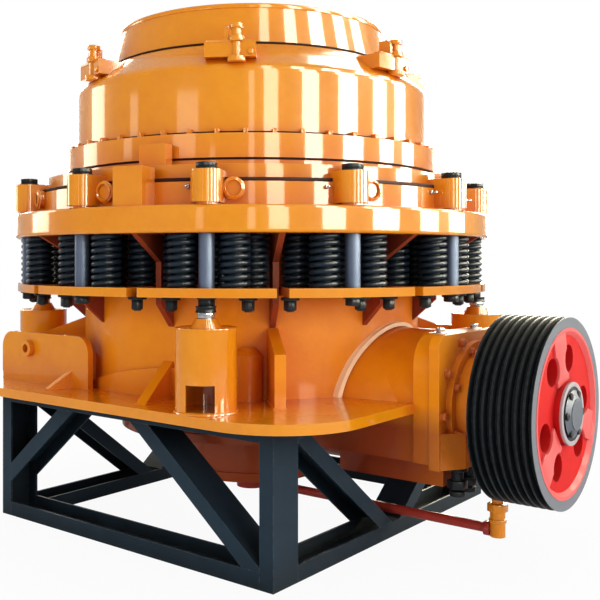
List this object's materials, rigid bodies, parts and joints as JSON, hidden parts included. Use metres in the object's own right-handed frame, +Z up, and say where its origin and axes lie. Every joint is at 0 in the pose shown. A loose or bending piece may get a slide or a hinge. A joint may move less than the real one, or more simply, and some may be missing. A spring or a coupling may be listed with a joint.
{
  "type": "cone crusher",
  "caption": "Spring cone crusher on a braced steel stand, with feed hopper, spring row, setting jacks and a belt pulley on its countershaft.",
  "frame": {"origin": "crusher's vertical axis at floor level, the centre of the stand's anchor bolt pattern", "axes": "+Z up, +X along the countershaft towards the pulley, +Y to the left of that"},
  "size_m": [2.2619, 1.8798, 1.893],
  "materials": {
    "orange_paint": "glossy",
    "stand_paint": "satin",
    "spring_steel": "satin",
    "bright_steel": "satin",
    "black_nuts": "satin",
    "wear_castings": "rough",
    "pulley_red": "glossy",
    "pulley_black": "satin",
    "pipe_red": "satin"
  },
  "bodies": {
    "frame": {"stand_posts": "stand_paint", "stand_base_beams": "stand_paint", "stand_top_beams": "stand_paint", "stand_side_braces": "stand_paint", "stand_end_braces": "stand_paint", "base_plate": "orange_paint", "frame_shell": "orange_paint", "discharge_ring": "orange_paint", "frame_hub": "orange_paint", "tall_ribs": "orange_paint", "low_ribs": "orange_paint", "shell_bosses": "orange_paint", "main_flange": "orange_paint", "upper_gussets": "orange_paint", "countershaft_box": "orange_paint", "box_flange": "orange_paint", "bearing_cover": "orange_paint", "bearing_saddle": "orange_paint", "spring_plates": "orange_paint", "outer_springs": "spring_steel", "inner_springs": "spring_steel", "spring_rods": "bright_steel", "rod_nuts": "black_nuts", "adjustment_ring": "orange_paint", "lock_block": "orange_paint", "push_bracket": "orange_paint", "jack_bodies": "orange_paint", "jack_rods": "black_nuts", "side_brackets": "orange_paint", "head_support": "wear_castings", "mantle": "wear_castings", "feed_plate": "wear_castings", "drain_pipe": "pipe_red", "drain_riser": "orange_paint"},
    "bowl": {"bowl": "orange_paint", "bowl_liner": "wear_castings", "bowl_flange": "orange_paint", "bowl_cover": "orange_paint", "hopper": "orange_paint", "hopper_funnel": "orange_paint", "hopper_clamps": "orange_paint"},
    "drive": {"countershaft": "bright_steel", "pulley_rim": "pulley_black", "pulley_web": "pulley_red", "pulley_hub": "bright_steel"}
  },
  "joints": [
    {"name": "countershaft_turn", "type": "hinge", "parent": "frame", "child": "drive", "pos_m": [1, 0, 0.508], "axis": [1, 0, 0], "continuous": true},
    {"name": "bowl_setting", "type": "hinge", "parent": "frame", "child": "bowl", "pos_m": [0, 0, 1.3], "axis": [0, 0, 1], "range_deg": [-30, 30]}
  ]
}
